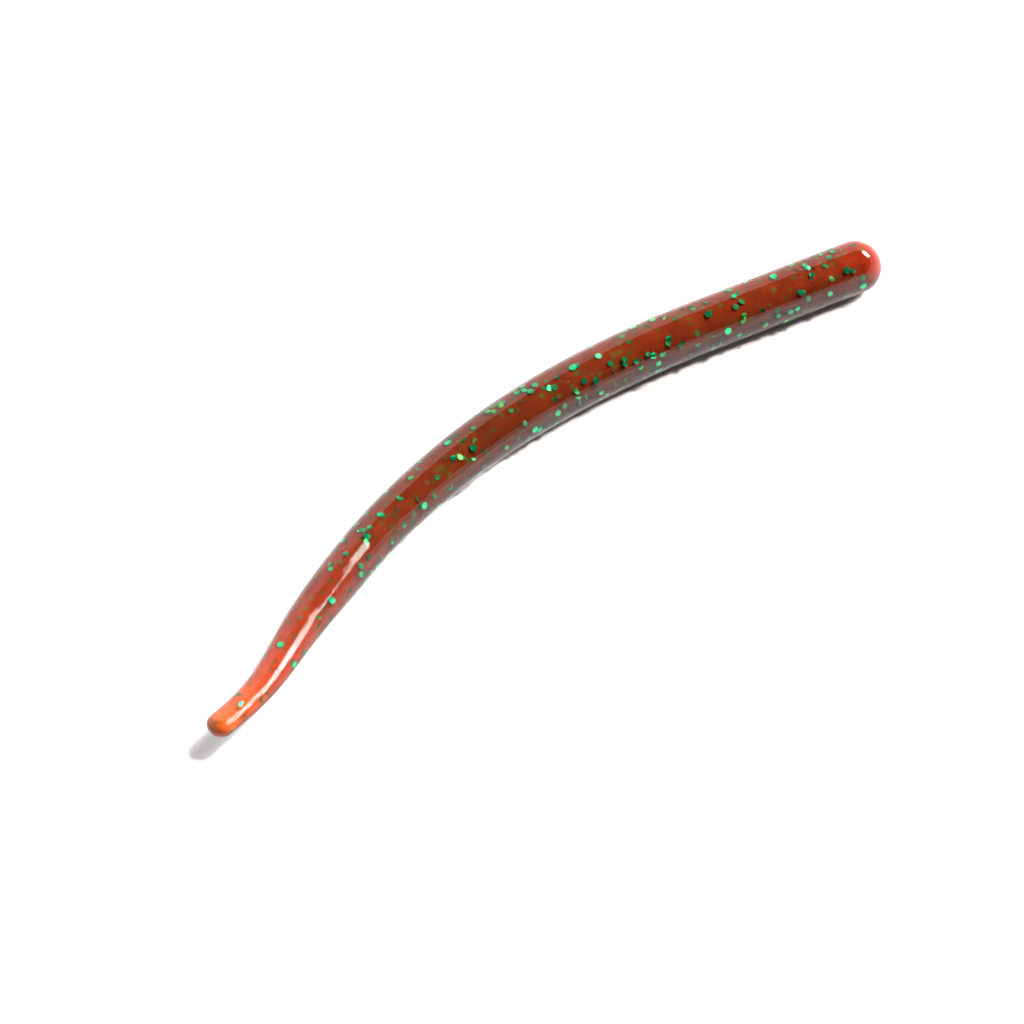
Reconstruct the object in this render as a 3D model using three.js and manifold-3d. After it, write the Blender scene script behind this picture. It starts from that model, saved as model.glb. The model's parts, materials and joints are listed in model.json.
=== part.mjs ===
// Soft plastic worm: a straight-tailed finesse fishing worm, moulded in one piece with glitter in it.
//
// The body is one flexible moulding. It is divided here into twelve lengths, each with a ball at its
// tail end that sits in a cup in the next length, so that the chain bends where the plastic flexes.
// Small hexagonal flakes of glitter lie in shallow pockets just under the surface.
//
// Millimetres, +Z up. The worm lies on z = 0 with its nose towards +X, and the origin is at the
// middle of the underside of its bounding box.
import * as THREE from "three";
import { mergeVertices } from "three/addons/utils/BufferGeometryUtils.js";
import Module from "manifold-3d";

const wasm = await Module();
wasm.setup();

// Driving dimensions
const BODY_RADIUS = 3.55;
const HIP_HALF_WIDTH = 2.97; // where the body's slow taper ends and the tail begins
const TIP_HALF_WIDTH = 1.88; // the tail's half width just before its rounded end
const BODY_TAPER = [40, 95]; // distances from the nose between which the body narrows to the hip
const TAIL_TAPER = [88, 117]; // distances between which the tail narrows to its tip
const TIP_FLATNESS = 0.62; // thickness over width at the tip of the tail
const FLATTENING_START = 84; // distance from the nose at which the tail begins to flatten
const TIP_ROUNDING = 1.7; // length of the tail's rounded end
const BELLY_TRIM = 0.1; // how far the soft underside settles into a flat strip
const TAIL_LIFT = 3.2; // the tail rises off the surface by nearly this much at its tip
const LIFT_SPAN = [86, 126]; // distances from the nose over which it rises

const BALL_TO_BODY = 1.03; // radius of a joint's ball over the body's radius there
const GAP = 0.3; // running gap between a ball and its cup, and around a flake
const SIDES = 24; // facets around the body
const BALL_STEPS = 5; // facets from a ball's edge to its pole
const SIDE_STEPS = 3; // facets along a length's side

const FLAKE_ACROSS_FLATS = 0.89; // 0.035 inch hexagonal glitter
const FLAKE_THICKNESS = 0.1;
const FLAKE_DEPTH = 0.15; // plastic over a flake's middle
const FLAKES_PER_LENGTH = 4;
const FLAKE_SPACING = 0.6; // along the body, within the stiff middle of a length
const GOLDEN_ANGLE = Math.PI * (3 - Math.sqrt(5)); // the turn from one flake to the next

const NOSE_REDDENING = 14; // distance over which the nose's redder colour fades
const TAIL_CLEARING = 74; // distance from the nose at which the plastic begins to look clearer
const WELD_DISTANCE = 1e-4; // corners closer than this are one corner

// Where the middle of the body runs, seen from above, from the nose to the tip of the tail
const CENTRE_LINE = [
  [117.3, 0.5],
  [99.6, 5.5],
  [80.1, 10.4],
  [59.1, 12.6],
  [38.9, 10.8],
  [21.5, 5.9],
  [8.1, 0.9],
  [-0.2, -0.4],
];

const LENGTH_NAMES = [
  "nose",
  "head",
  "neck",
  "shoulder",
  "front_body",
  "front_middle",
  "rear_middle",
  "rear_body",
  "hip",
  "tail_root",
  "tail_middle",
  "tail_tip",
];

const BODY_COLOUR = new THREE.Color(0x8c3018);
const NOSE_COLOUR = new THREE.Color(0xb83c22);
const TAIL_COLOUR = new THREE.Color(0xdd6636);
const FLAKE_COLOUR = new THREE.Color(0x12a066);

const { lerp, smoothstep } = THREE.MathUtils;

const route = new THREE.CatmullRomCurve3(CENTRE_LINE.map(([x, y]) => new THREE.Vector3(x, y, 0)));
const TOTAL_LENGTH = route.getLength();
const LENGTH_STEP = TOTAL_LENGTH / LENGTH_NAMES.length;

// Half the body's width at a distance from the nose, leaving out its rounded ends
function halfWidth(distance) {
  const bodyLoss = (BODY_RADIUS - HIP_HALF_WIDTH) * smoothstep(distance, ...BODY_TAPER);
  const tailLoss = (HIP_HALF_WIDTH - TIP_HALF_WIDTH) * smoothstep(distance, ...TAIL_TAPER);
  return BODY_RADIUS - bodyLoss - tailLoss;
}

// Thickness over width at a distance from the nose
function flatness(distance) {
  return lerp(1, TIP_FLATNESS, smoothstep(distance, FLATTENING_START, TOTAL_LENGTH));
}

// The point on the body's centre line at a distance from the nose
function centreAt(distance) {
  const point = route.getPointAt(Math.min(1, distance / TOTAL_LENGTH));
  const lift = TAIL_LIFT * smoothstep(distance, ...LIFT_SPAN);
  point.z = halfWidth(distance) * flatness(distance) - BELLY_TRIM + lift;
  return point;
}

// A three.js geometry as a manifold-3d solid
function toSolid(geometry) {
  const bare = geometry.clone();
  bare.deleteAttribute("normal");
  bare.deleteAttribute("uv");
  const merged = mergeVertices(bare, WELD_DISTANCE);
  const corners = merged.index.array;
  const triangles = [];
  for (let i = 0; i < corners.length; i += 3) {
    const [a, b, c] = corners.slice(i, i + 3);
    if (a !== b && b !== c && c !== a) {
      triangles.push(a, b, c);
    }
  }
  const vertProperties = new Float32Array(merged.attributes.position.array);
  const triVerts = new Uint32Array(triangles);
  return new wasm.Manifold(new wasm.Mesh({ numProp: 3, vertProperties, triVerts }));
}

// A manifold-3d solid as a three.js geometry
function toGeometry(solid) {
  const mesh = solid.getMesh();
  const geometry = new THREE.BufferGeometry();
  geometry.setAttribute("position", new THREE.BufferAttribute(mesh.vertProperties, 3));
  geometry.setIndex(new THREE.BufferAttribute(mesh.triVerts, 1));
  geometry.computeVertexNormals();
  return geometry;
}

// Points on an arc about a place on the axis, from one angle to another. The angle is counted from
// the direction of the tail, and each point is (distance from the axis, distance along it).
function arc(centre, radius, stretch, fromAngle, toAngle, steps) {
  const points = [];
  for (let i = 0; i <= steps; i += 1) {
    const angle = lerp(fromAngle, toAngle, i / steps);
    points.push(new THREE.Vector2(radius * Math.sin(angle), centre + stretch * Math.cos(angle)));
  }
  return points;
}

// The outline of one length, turned about its own axis: its front end, its side, its back end
function outline(index, start, span) {
  const first = index === 0;
  const last = index === LENGTH_NAMES.length - 1;
  const frontRadius = halfWidth(start);
  const backRadius = halfWidth(start + span);
  let front;
  if (first) {
    front = arc(frontRadius, frontRadius, frontRadius, Math.PI, Math.PI / 2, 2 * BALL_STEPS);
  } else {
    const cup = frontRadius * BALL_TO_BODY + GAP;
    front = arc(0, cup, cup, 0, Math.asin(frontRadius / cup), BALL_STEPS);
  }
  let back;
  if (last) {
    back = arc(span - TIP_ROUNDING, backRadius, TIP_ROUNDING, Math.PI / 2, 0, BALL_STEPS);
  } else {
    const ball = backRadius * BALL_TO_BODY;
    back = arc(span, ball, ball, Math.PI - Math.asin(backRadius / ball), 0, 2 * BALL_STEPS);
  }
  const sideStart = front.at(-1).y;
  const sideEnd = back[0].y;
  const side = [];
  for (let i = 1; i < SIDE_STEPS; i += 1) {
    const along = lerp(sideStart, sideEnd, i / SIDE_STEPS);
    side.push(new THREE.Vector2(halfWidth(start + along), along));
  }
  const points = [...front, ...side, ...back];
  points[0].x = 0;
  points.at(-1).x = 0;
  return points;
}

// One length of the body along its own +X, round in front and flatter towards the tip of the tail
function lengthSolid(index, start, span) {
  const geometry = new THREE.LatheGeometry(outline(index, start, span), SIDES);
  geometry.rotateZ(-Math.PI / 2);
  const position = geometry.attributes.position;
  for (let i = 0; i < position.count; i += 1) {
    position.setZ(i, position.getZ(i) * flatness(start + position.getX(i)));
  }
  return toSolid(geometry);
}

// Where a flake lies on a length: its middle and the direction that it faces
function flakePlace(number, start, span) {
  const order = number % FLAKES_PER_LENGTH;
  const along = span / 2 + (order - (FLAKES_PER_LENGTH - 1) / 2) * FLAKE_SPACING;
  const angle = number * GOLDEN_ANGLE;
  const wide = halfWidth(start + along);
  const high = wide * flatness(start + along);
  const surface = new THREE.Vector3(along, wide * Math.cos(angle), high * Math.sin(angle));
  const outward = new THREE.Vector3(0, Math.cos(angle) / wide, Math.sin(angle) / high).normalize();
  return { surface, outward };
}

// A hexagonal prism that faces outward from the body, its outer face a given depth under the surface
function hexagon(place, acrossFlats, thickness, depth) {
  const radius = acrossFlats / 2 / Math.cos(Math.PI / 6);
  const geometry = new THREE.CylinderGeometry(radius, radius, thickness, 6);
  const turn = new THREE.Quaternion().setFromUnitVectors(new THREE.Vector3(0, 1, 0), place.outward);
  const middle = place.surface.clone().addScaledVector(place.outward, -depth - thickness / 2);
  geometry.applyQuaternion(turn);
  geometry.translate(middle.x, middle.y, middle.z);
  return geometry;
}

// Glossy soft plastic, redder at the nose and a clear orange at the thin tail
function plastic(start) {
  const towardsTail = smoothstep(start, TAIL_CLEARING, TOTAL_LENGTH);
  const towardsNose = 1 - smoothstep(start, 0, NOSE_REDDENING);
  const color = BODY_COLOUR.clone().lerp(TAIL_COLOUR, towardsTail).lerp(NOSE_COLOUR, towardsNose);
  return new THREE.MeshStandardMaterial({ color, roughness: 0.2, metalness: 0 });
}

// Green metallised film
function foil() {
  return new THREE.MeshStandardMaterial({ color: FLAKE_COLOUR, roughness: 0.25, metalness: 0.8 });
}

// The space under the surface that the worm lies on, seen from a length's own frame
function groundUnder(length) {
  const side = 4 * LENGTH_STEP;
  const ground = new THREE.BoxGeometry(side, side, LENGTH_STEP);
  ground.translate(length.position.x, length.position.y, -LENGTH_STEP / 2);
  ground.applyMatrix4(length.matrix.clone().invert());
  return ground;
}

// One length of the body with its flakes, as a group that sits at the length's front end
function makeLength(name, index) {
  const start = index * LENGTH_STEP;
  const front = centreAt(start);
  const back = centreAt(start + LENGTH_STEP);
  const span = front.distanceTo(back);

  const tailward = back.clone().sub(front).normalize();
  const side = new THREE.Vector3(0, 0, 1).cross(tailward).normalize();
  const up = tailward.clone().cross(side);
  const length = new THREE.Group();
  length.quaternion.setFromRotationMatrix(new THREE.Matrix4().makeBasis(tailward, side, up));
  length.position.copy(front);
  length.updateMatrix();

  let solid = lengthSolid(index, start, span).subtract(toSolid(groundUnder(length)));
  for (let order = 0; order < FLAKES_PER_LENGTH; order += 1) {
    const number = index * FLAKES_PER_LENGTH + order;
    const place = flakePlace(number, start, span);
    const pocketDepth = FLAKE_DEPTH + FLAKE_THICKNESS + GAP;
    const pocket = hexagon(place, FLAKE_ACROSS_FLATS + 2 * GAP, 2 * pocketDepth, -pocketDepth);
    solid = solid.subtract(toSolid(pocket));
    const flake = new THREE.Mesh(
      hexagon(place, FLAKE_ACROSS_FLATS, FLAKE_THICKNESS, FLAKE_DEPTH),
      foil(),
    );
    flake.name = `glitter_flake_${String(number + 1).padStart(2, "0")}`;
    length.add(flake);
  }

  const body = new THREE.Mesh(toGeometry(solid), plastic(start));
  body.name = name;
  length.add(body);
  return length;
}

const worm = new THREE.Group();
LENGTH_NAMES.forEach((name, index) => worm.add(makeLength(name, index)));

// The origin goes to the middle of the underside
const box = new THREE.Box3().setFromObject(worm, true);
const middle = box.getCenter(new THREE.Vector3());
worm.position.set(-middle.x, -middle.y, -box.min.z);

export default worm;
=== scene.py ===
import json
import math
import random

import bpy
import numpy as np
from mathutils import Matrix, Vector

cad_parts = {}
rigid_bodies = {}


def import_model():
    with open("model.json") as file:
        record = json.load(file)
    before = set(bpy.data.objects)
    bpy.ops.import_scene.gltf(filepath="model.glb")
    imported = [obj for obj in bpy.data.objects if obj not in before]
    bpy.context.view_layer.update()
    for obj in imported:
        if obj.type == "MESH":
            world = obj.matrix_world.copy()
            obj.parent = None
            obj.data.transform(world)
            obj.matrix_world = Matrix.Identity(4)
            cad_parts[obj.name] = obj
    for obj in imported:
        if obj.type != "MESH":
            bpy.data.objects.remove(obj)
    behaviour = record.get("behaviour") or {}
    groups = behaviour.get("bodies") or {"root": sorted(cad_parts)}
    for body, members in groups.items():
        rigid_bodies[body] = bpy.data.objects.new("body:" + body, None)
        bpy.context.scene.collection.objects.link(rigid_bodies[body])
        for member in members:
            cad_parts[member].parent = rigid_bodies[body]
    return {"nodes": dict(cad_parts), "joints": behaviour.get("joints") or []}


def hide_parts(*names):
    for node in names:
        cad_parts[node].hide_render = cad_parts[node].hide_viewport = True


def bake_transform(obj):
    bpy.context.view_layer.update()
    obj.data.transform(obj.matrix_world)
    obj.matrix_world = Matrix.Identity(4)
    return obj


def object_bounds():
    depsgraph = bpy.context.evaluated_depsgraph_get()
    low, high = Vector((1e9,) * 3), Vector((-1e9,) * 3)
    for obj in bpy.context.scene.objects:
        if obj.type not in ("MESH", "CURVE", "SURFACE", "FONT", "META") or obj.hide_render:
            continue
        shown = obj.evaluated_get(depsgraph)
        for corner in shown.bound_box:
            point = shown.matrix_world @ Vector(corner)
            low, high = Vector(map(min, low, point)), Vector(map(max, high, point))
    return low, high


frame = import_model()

cad_box = [list(corner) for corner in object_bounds()]
scene = bpy.context.scene

# Sizes in metres, the same driving dimensions as the CAD part
MM = 0.001
BODY_RADIUS = 3.55 * MM
HIP_HALF_WIDTH = 2.97 * MM
TIP_HALF_WIDTH = 1.88 * MM
BODY_TAPER = (40 * MM, 95 * MM)
TAIL_TAPER = (88 * MM, 117 * MM)
TIP_FLATNESS = 0.62
FLATTENING_START = 84 * MM
TIP_ROUNDING = 1.7 * MM

CORE_SHARE = 0.86  # the cloudy core's radius over the skin's
RING_STEP = 0.42 * MM  # distance between rings of the skin
SKIN_SIDES = 72
CORE_SIDES = 48
DOME_RINGS = 14
SEAM_MARGIN = 0.25 * MM  # how far from its ends a piece of skin would stop bending; bend_over works it out, but no bend is made
BEND_SHARE = 1.3  # how far each side of a hinge a bend would reach, over its half width there; no bend is made

FLAKE_ACROSS_FLATS = 0.89 * MM
FLAKE_THICKNESS = 0.03 * MM
FLAKE_COUNT = 620
FLAKE_COVER = 0.04 * MM  # least plastic over the edge of a flake
FLAKE_DEPTH = 0.42 * MM  # how much deeper than that the deepest ones lie
FLAKE_DEPTH_BIAS = 1.6  # above 1, more flakes lie near the surface than deep
FLAKE_CURL = 0.9 / MM  # most curvature of a flake
FLAKE_SIZES = (0.72, 0.92)  # of the loose flakes, over the CAD flakes' size: the skin magnifies them
FLAKE_SLANT = 34.0  # degrees, how much the flakes' slants spread
MOST_SLANT = 75.0
FLAKE_ROWS = (-1.0, -0.75, -0.5, -0.25, 0.0, 0.25, 0.5, 0.75, 1.0)

VIEW_AZIMUTH = -42.6
VIEW_ELEVATION = 50.0
FRAME_WIDTH = 132.0 * MM  # what the picture spans at the worm
AIM_RIGHT = -0.80 * MM  # the picture's middle, from the worm's middle
AIM_UP = -6.8 * MM
LENS = 250.0
SENSOR = 36.0

FLOOR_SIZE = 3.0
FLOOR_GAP = 0.02 * MM
LIGHT_DISTANCE = 1.5
OPENING_AZIMUTH = 150.3  # degrees from straight away from the camera, towards the right
OPENING_ELEVATION = 67.0
OPENING_ANGLE = 56.1  # half the angle that the tent's dark opening spans
FAR_WHITE = 2.0  # the tent's brightness on its far left side
NEAR_WHITE = 1.4  # and on its near right side
OPENING_WHITE = 0.02  # how bright the opening is, over the white beside it
OPENING_EDGE = 1.5  # degrees each side of the opening's rim over which it fades

# The lights' directions in the picture's right, up and back, the half angles in degrees that they
# span, the first along their long axis, and their radiances
LONG_AXIS = (0.80, -0.59, 0.04)
SOFTBOX_DIRECTION = (0.630, 0.747, 0.220)
SOFTBOX_HALF_ANGLES = (13.0, 7.0)
SOFTBOX_RADIANCE = 54.0
KEY_DIRECTION = (0.526, 0.680, 0.512)
KEY_HALF_ANGLES = (4.0, 4.0)
KEY_RADIANCE = 370.0
FILL_DIRECTION = (-0.41, 0.912, -0.017)
FILL_HALF_ANGLES = (12.0, 12.0)
FILL_RADIANCE = 15.0

RIB_PITCH = 0.22  # mm, of the fine ribs that the mould leaves across the tail
RIB_SPAN = (84.4, 85.6)  # mm from the nose, where the ribs fade in
RIB_HEIGHT = 0.0035 * MM
RIPPLE_HEIGHT = 0.1 * MM  # of the skin's slow unevenness
RIPPLE_STRENGTH = 0.07
GRAIN_HEIGHT = 0.02 * MM  # of the film's grain
GRAIN_STRENGTH = 0.15

# Colours along the cloudy core, by their share of the way from nose to tail. They are lighter at the
# nose, and toward the thin tail tip they grow lighter and more orange: there the lighter colour is a
# painted glow of the light that shines through the thin tail
CORE_COLOURS_AND_TAIL_GLOW = (
    (0.0, (0.19, 0.012, 0.0036)),
    (0.03, (0.115, 0.010, 0.003)),
    (0.07, (0.074, 0.009, 0.0024)),
    (0.25, (0.074, 0.010, 0.0024)),
    (0.50, (0.054, 0.0088, 0.0022)),
    (0.68, (0.074, 0.011, 0.0034)),
    (0.80, (0.115, 0.0135, 0.0045)),
    # from here to the tip: painted glow of light shining through the thin tail, over the plastic's
    # own colour
    (0.90, (0.20, 0.024, 0.006)),
    (1.0, (0.31, 0.06, 0.012)),
)
DEEP_FLAKE_COLOURS = (
    (0.0, (0.004, 0.022, 0.006)),
    (1.0, (0.028, 0.055, 0.008)),
)
FILM_COLOURS = (
    (0.0, (0.006, 0.50, 0.20)),
    (0.35, (0.003, 0.44, 0.18)),
    (0.6, (0.004, 0.34, 0.13)),
    (0.8, (0.06, 0.42, 0.04)),
    (1.0, (0.001, 0.26, 0.12)),
)
MOTTLE_RANGE = (0.72, 1.28)  # how much the core's brightness varies
SPOT_RADII = (0.46, 0.2)  # where a deep flake's edge fades out and in, over the texture's cells
SPOT_CHOICE = 0.4  # the share of the cells that hold no deep flake
SPOT_STRENGTH = 0.62

random.seed(11)


# ---------------------------------------------------------------- the run of the body

def smooth(value, low, high):
    """0 below low, 1 above high, and an even S between them."""
    t = np.clip((value - low) / (high - low), 0.0, 1.0)
    return t * t * (3.0 - 2.0 * t)


def farthest_point(node, place):
    """The corner of a CAD node that is farthest from a place."""
    corners = np.array([v.co for v in frame["nodes"][node].data.vertices])
    distance = np.linalg.norm(corners - np.array(place), axis=1)
    return corners[int(distance.argmax())]


class Spline:
    """A smooth curve through points, by distance along it."""

    def __init__(self, points):
        self.points = np.array(points, float)
        gaps = np.linalg.norm(np.diff(self.points, axis=0), axis=1)
        self.knots = np.concatenate([[0.0], np.cumsum(gaps)])
        self.length = float(self.knots[-1])
        count = len(self.points)
        system = np.eye(count)
        right = np.zeros((count, 3))
        for i in range(1, count - 1):
            system[i, i - 1] = gaps[i - 1]
            system[i, i] = 2 * (gaps[i - 1] + gaps[i])
            system[i, i + 1] = gaps[i]
            after = (self.points[i + 1] - self.points[i]) / gaps[i]
            before = (self.points[i] - self.points[i - 1]) / gaps[i - 1]
            right[i] = 6 * (after - before)
        self.bend = np.linalg.solve(system, right)

    def at(self, distance):
        """The point at a distance along the curve, and the direction there."""
        i = int(np.clip(np.searchsorted(self.knots, distance) - 1, 0, len(self.knots) - 2))
        gap = self.knots[i + 1] - self.knots[i]
        b = (distance - self.knots[i]) / gap
        a = 1.0 - b
        low, high = self.points[i], self.points[i + 1]
        sag = ((a ** 3 - a) * self.bend[i] + (b ** 3 - b) * self.bend[i + 1]) * gap * gap / 6
        slope = ((1 - 3 * a * a) * self.bend[i] + (3 * b * b - 1) * self.bend[i + 1]) * gap / 6
        direction = (high - low) / gap + slope
        return a * low + b * high + sag, direction / np.linalg.norm(direction)


joints = frame["joints"]
hinges = [np.array(joint["pos_m"]) for joint in joints]
bodies = [joints[0]["parent"]] + [joint["child"] for joint in joints]
nose_point = farthest_point(bodies[0], hinges[0])
tail_point = farthest_point(bodies[-1], hinges[-1])
route = Spline([nose_point] + hinges + [tail_point])
LENGTH = route.length

# The places along the body where one skin piece ends and the next begins: the middle of each
# stiff length, but for the two ends of the worm
seams = [0.0] + [float(route.knots[i] + route.knots[i + 1]) / 2 for i in range(1, len(hinges))]
seams.append(LENGTH)


def half_width(distance):
    loss = (BODY_RADIUS - HIP_HALF_WIDTH) * smooth(distance, *BODY_TAPER)
    loss += (HIP_HALF_WIDTH - TIP_HALF_WIDTH) * smooth(distance, *TAIL_TAPER)
    return BODY_RADIUS - loss


def flatness(distance):
    return 1.0 - (1.0 - TIP_FLATNESS) * smooth(distance, FLATTENING_START, LENGTH)


def section(distance, share):
    """Where a ring of the body lies and its half width and thickness. share is 1 at the skin."""
    nose = BODY_RADIUS
    tail = LENGTH - TIP_ROUNDING
    rounding = 1.0
    place = distance
    if distance < nose:
        cosine = 1.0 - distance / nose
        rounding = math.sqrt(max(0.0, 1.0 - cosine * cosine))
        place = nose - share * (nose - distance)
    if distance > tail:
        sine = (distance - tail) / TIP_ROUNDING
        rounding = math.sqrt(max(0.0, 1.0 - sine * sine))
        place = tail + share * (distance - tail)
    wide = half_width(distance) * rounding * share
    return place, wide, wide * flatness(distance)


def axes_at(distance):
    """The middle of the body at a distance from the nose, and its tailward, side and up axes."""
    middle, tailward = route.at(distance)
    side = np.cross((0.0, 0.0, 1.0), tailward)
    side /= np.linalg.norm(side)
    return middle, tailward, side, np.cross(tailward, side)


def ring_distances(start, end, step):
    """Rings from one seam to the next, closer together on the rounded ends."""
    nose, tail = BODY_RADIUS, LENGTH - TIP_ROUNDING
    places = []
    if start == 0.0:
        places += [nose * (1 - math.cos(math.pi / 2 * i / DOME_RINGS)) for i in range(DOME_RINGS)]
        start = nose
    last = end
    if end == LENGTH:
        last = tail
    count = max(2, math.ceil((last - start) / step))
    places += [start + (last - start) * i / count for i in range(count + 1)]
    if end == LENGTH:
        turns = [math.pi / 2 * i / DOME_RINGS for i in range(1, DOME_RINGS + 1)]
        places += [tail + TIP_ROUNDING * math.sin(turn) for turn in turns]
    return places


# ---------------------------------------------------------------- pieces

def new_mesh(name, vertices, faces, body_places):
    """A mesh object. body_places holds each corner's place in the straightened body, in mm."""
    mesh = bpy.data.meshes.new(name)
    mesh.from_pydata([tuple(v) for v in vertices], [], faces)
    mesh.validate()
    layer = mesh.attributes.new("body_place", "FLOAT_VECTOR", "POINT")
    layer.data.foreach_set("vector", np.array(body_places, np.float32).ravel())
    mesh.polygons.foreach_set("use_smooth", [True] * len(mesh.polygons))
    piece = bpy.data.objects.new(name, mesh)
    scene.collection.objects.link(piece)
    return piece


def tube(name, start, end, share, sides):
    """A stretch of the body's surface, or of one inside it, closed only at the worm's two ends."""
    vertices, places, faces = [], [], []
    distances = ring_distances(start, end, RING_STEP)
    closed_front, closed_back = start == 0.0, end == LENGTH
    if closed_front:
        distances = distances[1:]
    if closed_back:
        distances = distances[:-1]
    for distance in distances:
        place, wide, high = section(distance, share)
        middle, _, side, up = axes_at(place)
        for i in range(sides):
            angle = 2 * math.pi * i / sides
            offset = side * wide * math.cos(angle) + up * high * math.sin(angle)
            point = middle + offset
            point[2] = max(point[2], 0.0)
            vertices.append(point)
            places.append((place / MM, wide * math.cos(angle) / MM, high * math.sin(angle) / MM))
    for row in range(len(distances) - 1):
        for i in range(sides):
            j = (i + 1) % sides
            low, high = row * sides, (row + 1) * sides
            faces.append((low + i, low + j, high + j, high + i))
    for closed, distance, row in (
        (closed_front, 0.0, 0),
        (closed_back, LENGTH, len(distances) - 1),
    ):
        if not closed:
            continue
        place = section(distance, share)[0]
        vertices.append(axes_at(place)[0])
        places.append((place / MM, 0.0, 0.0))
        pole = len(vertices) - 1
        for i in range(sides):
            low, high = row * sides + i, row * sides + (i + 1) % sides
            faces.append((pole, high, low) if distance == 0.0 else (pole, low, high))
    return new_mesh(name, vertices, faces, places)


def bend_over(piece, index):
    """Works out how far a bend across one hinge could reach, which is not used, and bakes the piece's
    placement into its mesh.
    """
    knot = float(route.knots[index + 1])
    room = min(knot - seams[index], seams[index + 1] - knot) - SEAM_MARGIN
    reach = min(room, BEND_SHARE * half_width(knot))
    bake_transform(piece)


# ---------------------------------------------------------------- materials

def new_material(name):
    material = bpy.data.materials.new(name)
    material.use_nodes = True
    tree = material.node_tree
    tree.nodes.clear()
    output = tree.nodes.new("ShaderNodeOutputMaterial")
    return material, tree, output


def add(tree, kind, **values):
    """A node with its properties and input values set by name."""
    node = tree.nodes.new(kind)
    for key, value in values.items():
        if hasattr(node, key):
            setattr(node, key, value)
        else:
            node.inputs[key.replace("_", " ")].default_value = value
    return node


def fill_in(tree, node, values):
    """Gives a node's inputs their values, each a number, a colour or another node's output."""
    for name, value in values.items():
        if isinstance(value, bpy.types.NodeSocket):
            tree.links.new(value, node.inputs[name])
        else:
            node.inputs[name].default_value = value


def maths(tree, operation, first, second=None):
    """One sum on an output. The second term is a number or another output."""
    node = add(tree, "ShaderNodeMath", operation=operation)
    terms = {0: first}
    if second is not None:
        terms[1] = second
    fill_in(tree, node, terms)
    return node.outputs["Value"]


def map_range(tree, value, from_range, to_range=(0.0, 1.0), kind="LINEAR"):
    node = add(tree, "ShaderNodeMapRange", interpolation_type=kind)
    limits = {"From Min": from_range[0], "From Max": from_range[1]}
    limits.update({"To Min": to_range[0], "To Max": to_range[1]})
    fill_in(tree, node, {"Value": value, **limits})
    return node.outputs["Result"]


def colour_ramp(tree, value, stops):
    """A colour for a value, between stops that each have a position and a colour."""
    ramp = tree.nodes.new("ShaderNodeValToRGB")
    elements = ramp.color_ramp.elements
    while len(elements) < len(stops):
        elements.new(0.5)
    for element, (position, colour) in zip(elements, stops):
        element.position = position
        element.color = (*colour, 1.0)
    fill_in(tree, ramp, {"Fac": value})
    return ramp.outputs["Color"]


def mixed(tree, factor, first, second, blend_type="MIX"):
    node = add(tree, "ShaderNodeMix", data_type="RGBA", blend_type=blend_type)
    fill_in(tree, node, {"Factor": factor, "A": first, "B": second})
    return node.outputs["Result"]


def bumped(tree, height, values):
    """The surface's normal over a height."""
    bump = tree.nodes.new("ShaderNodeBump")
    fill_in(tree, bump, {"Height": height, **values})
    return bump.outputs["Normal"]


def texture(tree, kind, place, **values):
    """A texture node that is laid out by a place."""
    node = add(tree, kind, **values)
    tree.links.new(place, node.inputs["Vector"])
    return node


def attribute(tree, name):
    return add(tree, "ShaderNodeAttribute", attribute_name=name)


def along_body(tree, place):
    """The distance from the nose, in mm."""
    split = tree.nodes.new("ShaderNodeSeparateXYZ")
    tree.links.new(place, split.inputs["Vector"])
    return split.outputs["X"]


def ribs(tree, place):
    """The surface's normal with the fine ribs that the mould leaves across the tail."""
    along = along_body(tree, place)
    wave = maths(tree, "SINE", maths(tree, "MULTIPLY", along, 2 * math.pi / RIB_PITCH))
    fade = map_range(tree, along, RIB_SPAN, kind="SMOOTHSTEP")
    return bumped(tree, maths(tree, "MULTIPLY", wave, fade), {"Distance": RIB_HEIGHT})


def clear_plastic():
    """The glossy clear outer layer of the plastic, which light and shadows pass."""
    material, tree, output = new_material("clear_plastic")
    link = tree.links.new
    place = attribute(tree, "body_place").outputs["Vector"]
    ripple = texture(tree, "ShaderNodeTexNoise", place, Scale=0.9, Detail=3.0, Roughness=0.5)
    unevenness = {"Strength": RIPPLE_STRENGTH, "Distance": RIPPLE_HEIGHT}
    normal = bumped(tree, ripple.outputs["Fac"], {**unevenness, "Normal": ribs(tree, place)})
    shader = tree.nodes.new("ShaderNodeBsdfPrincipled")
    shader.inputs["Base Color"].default_value = (1.0, 0.9, 0.86, 1.0)
    shader.inputs["Roughness"].default_value = 0.03
    shader.inputs["IOR"].default_value = 1.46
    shader.inputs["Transmission Weight"].default_value = 1.0
    link(normal, shader.inputs["Normal"])
    through = tree.nodes.new("ShaderNodeBsdfTransparent")
    through.inputs["Color"].default_value = (1.0, 0.93, 0.9, 1.0)
    light = tree.nodes.new("ShaderNodeLightPath")
    mix = tree.nodes.new("ShaderNodeMixShader")
    link(light.outputs["Is Shadow Ray"], mix.inputs["Fac"])
    link(shader.outputs["BSDF"], mix.inputs[1])
    link(through.outputs["BSDF"], mix.inputs[2])
    link(mix.outputs["Shader"], output.inputs["Surface"])
    return material


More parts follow.
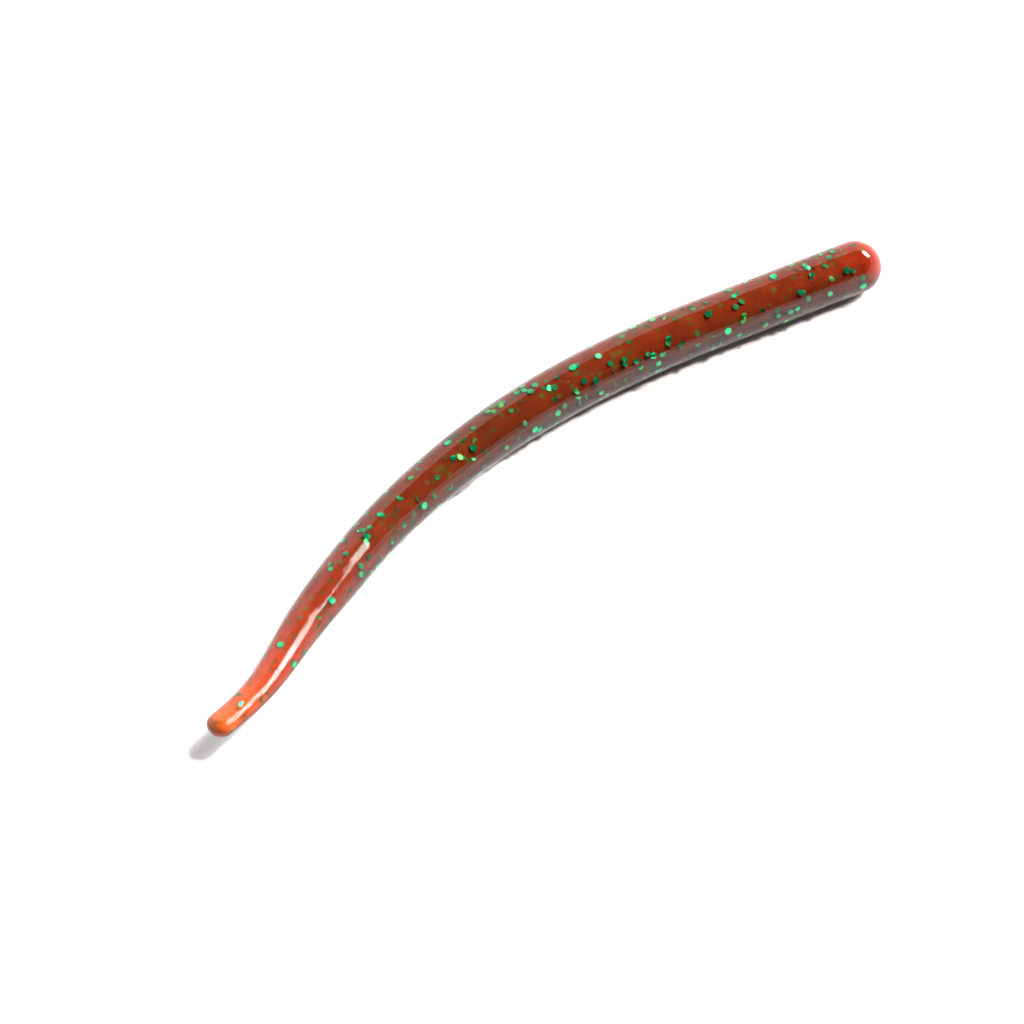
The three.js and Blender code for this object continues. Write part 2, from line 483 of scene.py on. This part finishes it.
def cloudy_plastic():
    """The coloured plastic further in, with the flakes that lie too deep to be seen sharply. Toward
    the thin tail tip its colour is lighter and more orange, a painted glow of the light that shines
    through there.
    """
    material, tree, output = new_material("cloudy_plastic")
    link = tree.links.new
    place = attribute(tree, "body_place").outputs["Vector"]
    share = maths(tree, "DIVIDE", along_body(tree, place), LENGTH / MM)
    # the plastic's colour along the body, with a painted glow of light through the thin tail toward
    # its tip
    tint = colour_ramp(tree, share, CORE_COLOURS_AND_TAIL_GLOW)
    mottle = texture(tree, "ShaderNodeTexNoise", place, Scale=0.4, Detail=5.0, Roughness=0.68)
    brightness = map_range(tree, mottle.outputs["Fac"], (0.3, 0.7), MOTTLE_RANGE)
    mottled = mixed(tree, 1.0, tint, brightness, "MULTIPLY")

    spots = texture(tree, "ShaderNodeTexVoronoi", place, Scale=0.9, Randomness=1.0)
    edge = map_range(tree, spots.outputs["Distance"], SPOT_RADII, kind="SMOOTHSTEP")
    chosen = tree.nodes.new("ShaderNodeSeparateColor")
    link(spots.outputs["Color"], chosen.inputs["Color"])
    some = maths(tree, "GREATER_THAN", chosen.outputs["Red"], SPOT_CHOICE)
    amount = maths(tree, "MULTIPLY", maths(tree, "MULTIPLY", edge, some), SPOT_STRENGTH)
    deep = colour_ramp(tree, chosen.outputs["Green"], DEEP_FLAKE_COLOURS)

    shader = tree.nodes.new("ShaderNodeBsdfPrincipled")
    shader.inputs["Roughness"].default_value = 0.6
    shader.inputs["Specular IOR Level"].default_value = 0.0
    link(mixed(tree, amount, mottled, deep), shader.inputs["Base Color"])
    link(shader.outputs["BSDF"], output.inputs["Surface"])
    return material


def flake_film():
    """Green metallised film. Each flake has its own shade, and the deep ones are veiled."""
    material, tree, output = new_material("flake_film")
    link = tree.links.new
    tint = colour_ramp(tree, attribute(tree, "shade").outputs["Fac"], FILM_COLOURS)
    veil = attribute(tree, "veil").outputs["Fac"]
    grain = add(tree, "ShaderNodeTexNoise", Scale=4000.0, Detail=2.0)
    grained = {"Strength": GRAIN_STRENGTH, "Distance": GRAIN_HEIGHT}
    shader = tree.nodes.new("ShaderNodeBsdfPrincipled")
    link(mixed(tree, veil, tint, (0.020, 0.055, 0.008, 1.0)), shader.inputs["Base Color"])
    link(map_range(tree, veil, (0.0, 1.0), (0.1, 0.42)), shader.inputs["Roughness"])
    link(map_range(tree, veil, (0.0, 1.0), (0.92, 0.5)), shader.inputs["Metallic"])
    link(bumped(tree, grain.outputs["Fac"], grained), shader.inputs["Normal"])
    link(shader.outputs["BSDF"], output.inputs["Surface"])
    return material


skin_material = clear_plastic()
core_material = cloudy_plastic()
flake_material = flake_film()

# ---------------------------------------------------------------- the body

for index in range(len(hinges)):
    start, end = seams[index], seams[index + 1]
    skin = tube(f"skin_{bodies[index + 1]}", start, end, 1.0, SKIN_SIDES)
    skin.data.materials.append(skin_material)
    bend_over(skin, index)
    core = tube(f"core_{bodies[index + 1]}", start, end, CORE_SHARE, CORE_SIDES)
    core.data.materials.append(core_material)
    bend_over(core, index)
    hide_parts(bodies[index + 1])
    if index == 0:
        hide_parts(bodies[0])


# ---------------------------------------------------------------- the glitter

def flake(centre, normal, spin, across_flats, curl):
    """The corners of a slightly curled hexagonal film, row by row: the upper face, then the lower."""
    helper = np.array((0.0, 0.0, 1.0)) if abs(normal[2]) < 0.9 else np.array((1.0, 0.0, 0.0))
    across = np.cross(normal, helper)
    across /= np.linalg.norm(across)
    u = across * math.cos(spin) + np.cross(normal, across) * math.sin(spin)
    v = np.cross(normal, u)
    radius = across_flats / 2 / math.cos(math.pi / 6)
    corners = []
    for level in (0.5, -0.5):
        for row in FLAKE_ROWS:
            half = min(across_flats / 2, (1.0 - abs(row)) * radius * math.sqrt(3.0))
            rise = curl * (row * radius) ** 2 / 2 + level * FLAKE_THICKNESS
            spine = centre + u * row * radius + normal * rise
            if abs(row) == 1.0:
                corners.append(spine)
            else:
                corners += [spine + v * half, spine - v * half]
    return corners


def flake_faces(first):
    """The faces over the corners that flake() gives."""
    per_side = 2 * len(FLAKE_ROWS) - 2
    faces = []
    for side in range(2):
        base = first + side * per_side
        end = base + per_side - 1
        panels = [(base, base + 1, base + 2)]
        panels += [(i, i + 2, i + 3, i + 1)[::-1] for i in range(base + 1, end - 2, 2)]
        panels.append((end, end - 1, end - 2))
        faces += [panel if side else panel[::-1] for panel in panels]
    rim = [0] + list(range(1, per_side - 1, 2)) + [per_side - 1]
    rim += list(range(per_side - 2, 1, -2))
    for i, corner in enumerate(rim):
        following = rim[(i + 1) % len(rim)]
        low = first + per_side
        faces.append((first + corner, first + following, low + following, low + corner))
    return faces


def place_flake():
    """A flake somewhere under the skin, lying at a random slant."""
    while True:
        distance = random.uniform(0.6 * MM, LENGTH - 0.4 * MM)
        if random.random() < half_width(distance) / BODY_RADIUS:
            break
    angle = random.uniform(0, 2 * math.pi)
    across = FLAKE_ACROSS_FLATS * random.uniform(*FLAKE_SIZES)
    tilt = math.radians(min(MOST_SLANT, abs(random.gauss(0.0, FLAKE_SLANT))))
    place, wide, high = section(distance, 1.0)
    middle, tailward, side, up = axes_at(place)
    radial = side * math.cos(angle) / wide + up * math.sin(angle) / high
    radial /= np.linalg.norm(radial)
    nose, tail = BODY_RADIUS, LENGTH - TIP_ROUNDING
    if distance < nose:
        cosine = 1.0 - distance / nose
        radial = radial * math.sqrt(1 - cosine * cosine) - tailward * cosine
    if distance > tail:
        sine = (distance - tail) / TIP_ROUNDING
        radial = radial * math.sqrt(1 - sine * sine) + tailward * sine
    surface = middle + side * wide * math.cos(angle) + up * high * math.sin(angle)
    reach = across / 2 / math.cos(math.pi / 6)
    room = reach * math.sin(tilt) + reach * reach / (2 * high) + FLAKE_COVER
    sunk = random.random() ** FLAKE_DEPTH_BIAS
    around = random.uniform(0, 2 * math.pi)
    helper = np.cross(radial, tailward + 0.01 * up)
    helper /= np.linalg.norm(helper)
    other = np.cross(radial, helper)
    lean = helper * math.cos(around) + other * math.sin(around)
    normal = radial * math.cos(tilt) + lean * math.sin(tilt)
    centre = surface - radial * (room + sunk * FLAKE_DEPTH)
    curl = FLAKE_CURL * random.uniform(-1.0, 1.0)
    corners = flake(centre, normal, random.uniform(0, 2 * math.pi), across, curl)
    return distance, corners, sunk


groups = [{"vertices": [], "faces": [], "shades": [], "veils": []} for _ in hinges]
made = 0
while made < FLAKE_COUNT:
    distance, corners, sunk = place_flake()
    if min(corner[2] for corner in corners) < FLAKE_COVER:
        continue
    made += 1
    index = min(int(np.searchsorted(seams, distance)) - 1, len(hinges) - 1)
    group = groups[max(0, index)]
    group["faces"] += flake_faces(len(group["vertices"]))
    group["vertices"] += corners
    group["shades"] += [random.random()] * len(corners)
    group["veils"] += [sunk] * len(corners)

for index, group in enumerate(groups):
    name = f"flakes_{bodies[index + 1]}"
    places = [tuple(v / MM) for v in group["vertices"]]
    flakes = new_mesh(name, group["vertices"], group["faces"], places)
    flakes.data.set_sharp_from_angle(angle=math.radians(40))
    for layer_name, values in (("shade", group["shades"]), ("veil", group["veils"])):
        layer = flakes.data.attributes.new(layer_name, "FLOAT", "POINT")
        layer.data.foreach_set("value", np.array(values, np.float32))
    flakes.data.materials.append(flake_material)
    bend_over(flakes, index)

for name, node in frame["nodes"].items():
    if name.startswith("glitter_flake"):
        node.data.materials.clear()
        node.data.materials.append(flake_material)


# ---------------------------------------------------------------- studio

def view_axes():
    """The picture's right and up directions, and the direction from the worm to the camera."""
    azimuth, elevation = math.radians(VIEW_AZIMUTH), math.radians(VIEW_ELEVATION)
    right = Vector((math.cos(azimuth), math.sin(azimuth), 0.0))
    back = Vector(
        (
            math.sin(azimuth) * math.cos(elevation),
            -math.cos(azimuth) * math.cos(elevation),
            math.sin(elevation),
        )
    )
    return right, back.cross(right), back


right, up, back = view_axes()
low, high = (Vector(corner) for corner in cad_box)
middle = (low + high) / 2

camera_data = bpy.data.cameras.new("camera")
camera_data.lens = LENS
camera_data.sensor_width = SENSOR
camera_data.clip_end = 10.0
camera = bpy.data.objects.new("camera", camera_data)
scene.collection.objects.link(camera)
distance = FRAME_WIDTH * LENS / SENSOR
camera.location = middle + right * AIM_RIGHT + up * AIM_UP + back * distance
camera.rotation_mode = "QUATERNION"
camera.rotation_quaternion = (-back).to_track_quat("-Z", "Y")
scene.camera = camera


def floor_piece():
    bpy.ops.mesh.primitive_plane_add(size=FLOOR_SIZE, location=(0, 0, -FLOOR_GAP))
    floor = bpy.context.object
    floor.name = "floor"
    material, tree, output = new_material("pale_floor")
    shader = tree.nodes.new("ShaderNodeBsdfDiffuse")
    shader.inputs["Color"].default_value = (0.5, 0.5, 0.5, 1.0)
    tree.links.new(shader.outputs["BSDF"], output.inputs["Surface"])
    floor.data.materials.append(material)


def area_light(name, direction, long_axis, half_angles, radiance):
    """A soft light that spans two half angles, the first one along its long axis."""
    data = bpy.data.lights.new(name, "AREA")
    data.shape = "RECTANGLE"
    data.size = 2 * LIGHT_DISTANCE * math.tan(math.radians(half_angles[0]))
    data.size_y = 2 * LIGHT_DISTANCE * math.tan(math.radians(half_angles[1]))
    data.energy = radiance * math.pi * data.size * data.size_y
    lamp = bpy.data.objects.new(name, data)
    scene.collection.objects.link(lamp)
    away = direction.normalized()
    across = away.cross(long_axis).normalized()
    along = across.cross(away)
    lamp.location = middle + away * LIGHT_DISTANCE
    lamp.rotation_mode = "QUATERNION"
    lamp.rotation_quaternion = Matrix((along, across, away)).transposed().to_quaternion()
    return lamp


def bright_tent(opening, far_side):
    """White surroundings, brighter on one side, with a dark opening overhead."""
    world = bpy.data.worlds.new("tent")
    scene.world = world
    world.use_nodes = True
    tree = world.node_tree
    tree.nodes.clear()
    link = tree.links.new
    output = tree.nodes.new("ShaderNodeOutputWorld")
    place = tree.nodes.new("ShaderNodeTexCoord")

    def toward(direction):
        dot = add(tree, "ShaderNodeVectorMath", operation="DOT_PRODUCT")
        dot.inputs[1].default_value = tuple(direction)
        link(place.outputs["Generated"], dot.inputs[0])
        return dot.outputs["Value"]

    sides = map_range(tree, toward(far_side), (-0.8, 0.8), (NEAR_WHITE, FAR_WHITE))
    outer = math.cos(math.radians(OPENING_ANGLE + OPENING_EDGE))
    inner = math.cos(math.radians(OPENING_ANGLE - OPENING_EDGE))
    edge = map_range(tree, toward(opening), (outer, inner), (1.0, OPENING_WHITE))
    tent = tree.nodes.new("ShaderNodeBackground")
    link(maths(tree, "MULTIPLY", sides, edge), tent.inputs["Strength"])
    backdrop = tree.nodes.new("ShaderNodeBackground")
    backdrop.inputs["Strength"].default_value = 1.0
    light = tree.nodes.new("ShaderNodeLightPath")
    mix = tree.nodes.new("ShaderNodeMixShader")
    link(light.outputs["Is Camera Ray"], mix.inputs["Fac"])
    link(tent.outputs["Background"], mix.inputs[1])
    link(backdrop.outputs["Background"], mix.inputs[2])
    link(mix.outputs["Shader"], output.inputs["Surface"])


def seen(rightward, upward, backward):
    """A direction given by the picture's right, its up, and back towards the camera."""
    return (right * rightward + up * upward + back * backward).normalized()


def hide_highlight(lamp):
    """Keeps a light's own reflection out of the clear plastic, and leaves the light it gives."""
    lamp.visible_glossy = False
    lamp.visible_transmission = False


floor_piece()
streak = seen(*LONG_AXIS)
area_light("softbox", seen(*SOFTBOX_DIRECTION), streak, SOFTBOX_HALF_ANGLES, SOFTBOX_RADIANCE)
hide_highlight(area_light("key", seen(*KEY_DIRECTION), streak, KEY_HALF_ANGLES, KEY_RADIANCE))
hide_highlight(area_light("fill", seen(*FILL_DIRECTION), right, FILL_HALF_ANGLES, FILL_RADIANCE))
upright = Vector((0.0, 0.0, 1.0))
onward = upright.cross(right)
azimuth, elevation = math.radians(OPENING_AZIMUTH), math.radians(OPENING_ELEVATION)
opening = (right * math.sin(azimuth) + onward * math.cos(azimuth)) * math.cos(elevation)
far_side = (onward * 0.82 - right * 0.57).normalized()
bright_tent(opening + upright * math.sin(elevation), far_side)
scene.view_settings.view_transform = "Standard"
